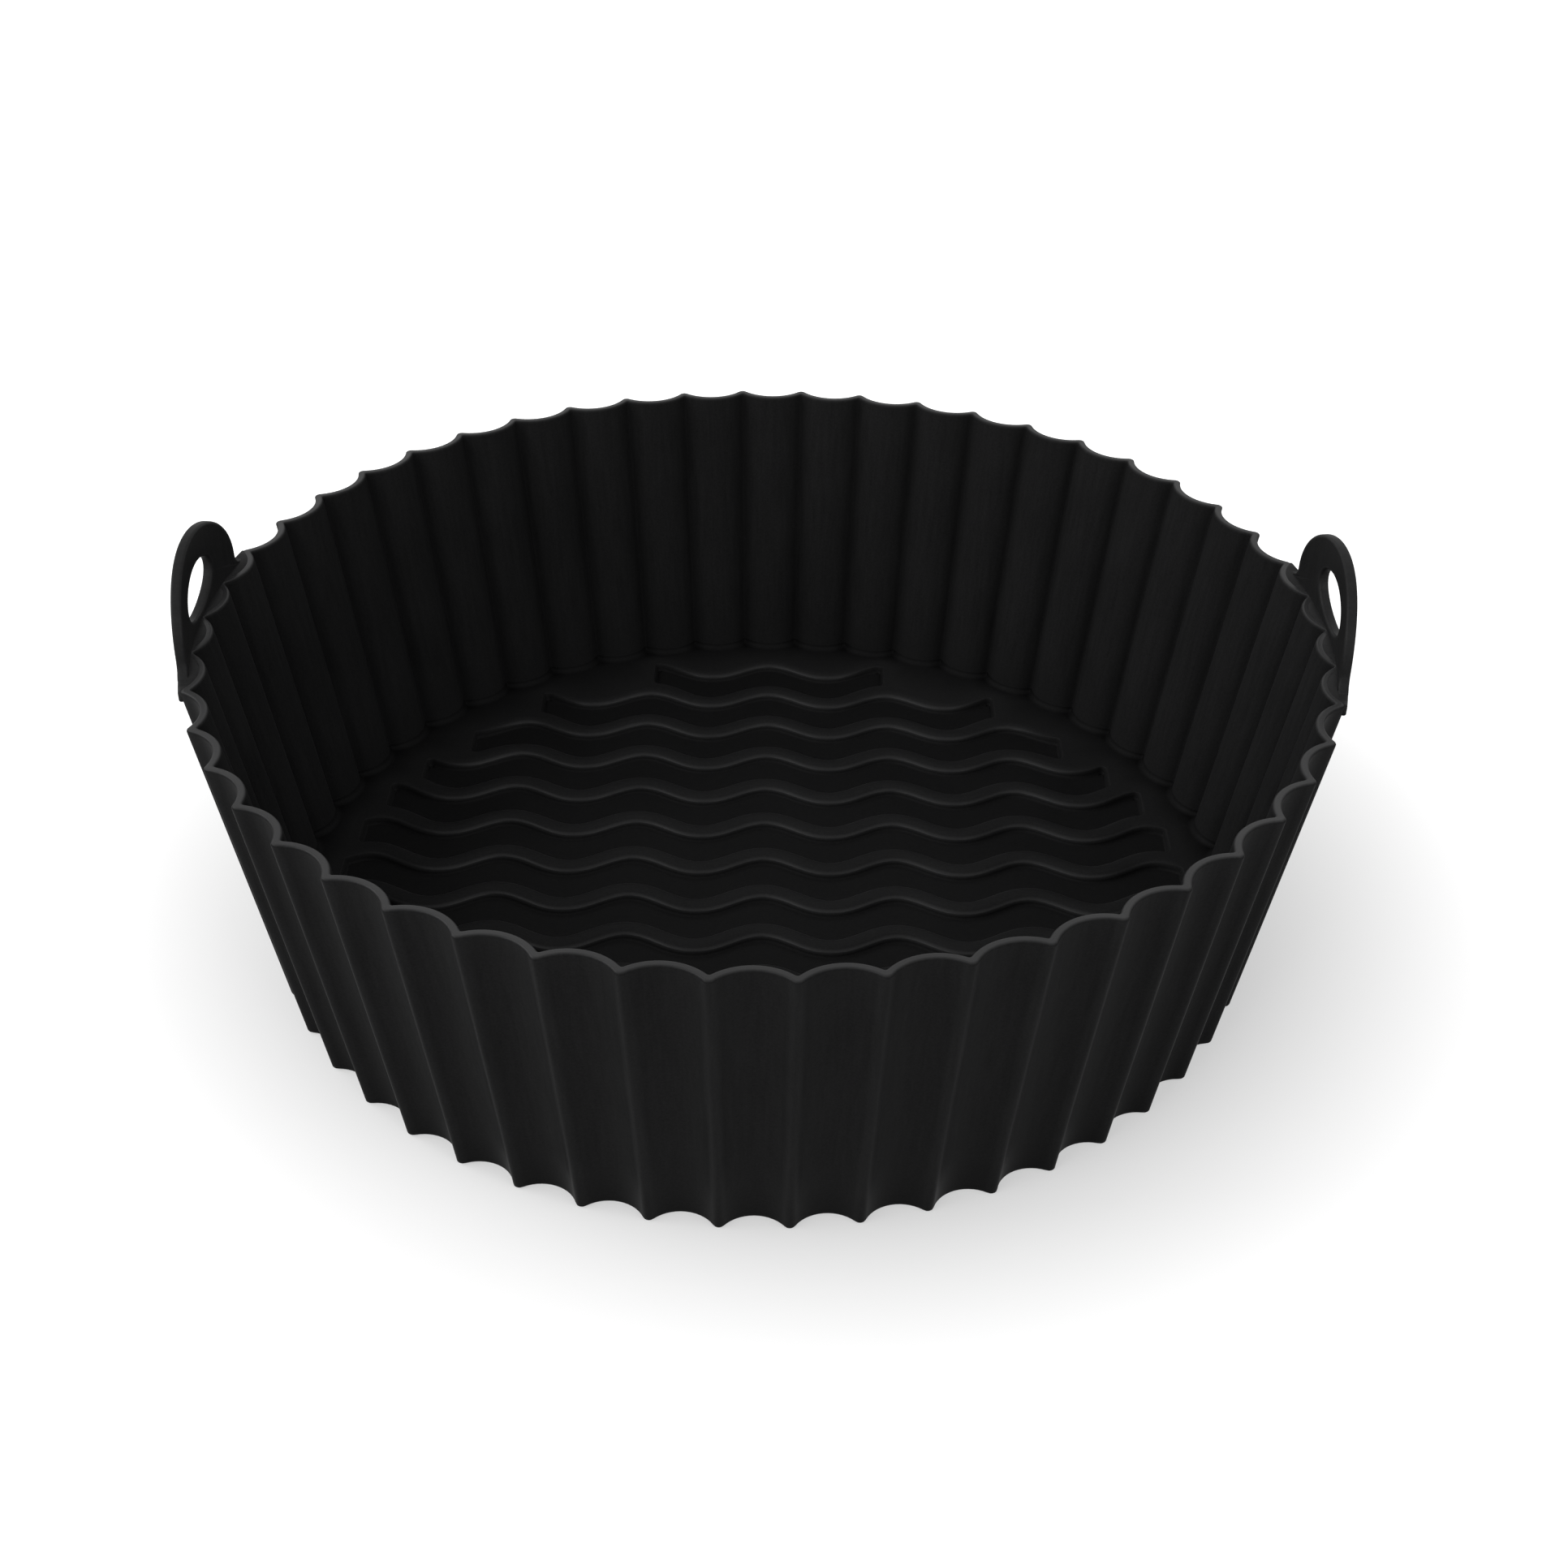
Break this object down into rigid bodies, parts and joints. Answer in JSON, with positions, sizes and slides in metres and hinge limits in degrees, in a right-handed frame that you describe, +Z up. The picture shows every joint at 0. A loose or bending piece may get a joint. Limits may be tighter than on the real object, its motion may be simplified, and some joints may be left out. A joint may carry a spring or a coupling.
{
  "type": "air fryer liner",
  "caption": "Round black silicone liner for an air fryer basket, with a fluted wall, a wavy ribbed floor and arched side handles with finger slots.",
  "frame": {"origin": "middle of the underside, in the plane that the liner stands on", "axes": "+Z up out of the open mouth, X through both handles, Y across them"},
  "size_m": [0.2006, 0.1996, 0.0734],
  "materials": {
    "silicone": "matte black moulded silicone"
  },
  "bodies": {
    "root": {"liner": "silicone"}
  },
  "joints": []
}
